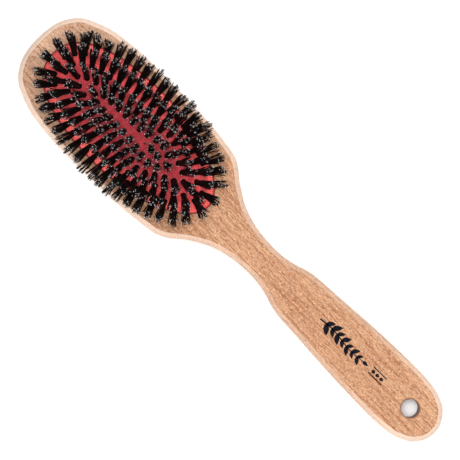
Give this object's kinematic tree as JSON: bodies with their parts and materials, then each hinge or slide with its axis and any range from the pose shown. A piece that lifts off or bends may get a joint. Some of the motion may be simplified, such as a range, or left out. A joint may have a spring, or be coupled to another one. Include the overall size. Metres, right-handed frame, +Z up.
{
  "type": "hairbrush",
  "caption": "Paddle-headed wooden vanity hairbrush: bristle tufts drawn through a domed rubber air cushion set in a grooved pocket, with a hanging hole in the handle.",
  "frame": {"origin": "under the middle of the whole brush, on the surface that its back lies on", "axes": "+Z up, out of the bristle face; +Y along the brush from the handle towards the head; +X across it"},
  "size_m": [0.0522, 0.225, 0.0346],
  "materials": {
    "beech": "steamed beech, fine sanded and oiled, with short dark ray flecks along the grain",
    "pad_rubber": "coral red natural rubber with a fine woven cloth face",
    "bristle": "black boar bristle with cut, slightly split tips that catch the light, on drawn steel wire"
  },
  "bodies": {
    "brush": {"wooden_body": "beech", "cushion_pad": "pad_rubber"},
    "ring_1": {"tufts_centre": "bristle", "tufts_ring1_run01": "bristle", "tufts_ring1_run02": "bristle", "tufts_ring1_run03": "bristle", "tufts_ring1_run04": "bristle", "tufts_ring1_run05": "bristle", "tufts_ring1_run06": "bristle"},
    "ring_2": {"tufts_ring2_run01": "bristle", "tufts_ring2_run02": "bristle", "tufts_ring2_run03": "bristle", "tufts_ring2_run04": "bristle", "tufts_ring2_run05": "bristle", "tufts_ring2_run06": "bristle", "tufts_ring2_run07": "bristle", "tufts_ring2_run08": "bristle"},
    "ring_3": {"tufts_ring3_run01": "bristle", "tufts_ring3_run02": "bristle", "tufts_ring3_run03": "bristle", "tufts_ring3_run04": "bristle", "tufts_ring3_run05": "bristle", "tufts_ring3_run06": "bristle", "tufts_ring3_run07": "bristle", "tufts_ring3_run08": "bristle", "tufts_ring3_run09": "bristle", "tufts_ring3_run10": "bristle"},
    "ring_4": {"tufts_ring4_run01": "bristle", "tufts_ring4_run02": "bristle", "tufts_ring4_run03": "bristle", "tufts_ring4_run04": "bristle", "tufts_ring4_run05": "bristle", "tufts_ring4_run06": "bristle", "tufts_ring4_run07": "bristle", "tufts_ring4_run08": "bristle", "tufts_ring4_run09": "bristle", "tufts_ring4_run10": "bristle", "tufts_ring4_run11": "bristle"}
  },
  "joints": [
    {"name": "cushion_press", "type": "slide", "parent": "brush", "child": "ring_1", "axis": [0, 0, -1], "range_m": [0, 0.0049], "stiffness_N_per_m": 600, "deforming": ["cushion_pad"]},
    {"name": "ring_2_press", "type": "slide", "parent": "brush", "child": "ring_2", "axis": [0, 0, -1], "range_m": [0, 0.00441], "stiffness_N_per_m": 600},
    {"name": "ring_3_press", "type": "slide", "parent": "brush", "child": "ring_3", "axis": [0, 0, -1], "range_m": [0, 0.00334], "stiffness_N_per_m": 600},
    {"name": "ring_4_press", "type": "slide", "parent": "brush", "child": "ring_4", "axis": [0, 0, -1], "range_m": [0, 0.00181], "stiffness_N_per_m": 600}
  ],
  "couplings": [
    {"joint": "ring_2_press", "follows": "cushion_press", "ratio": 0.89796},
    {"joint": "ring_3_press", "follows": "cushion_press", "ratio": 0.68061},
    {"joint": "ring_4_press", "follows": "cushion_press", "ratio": 0.36837}
  ]
}
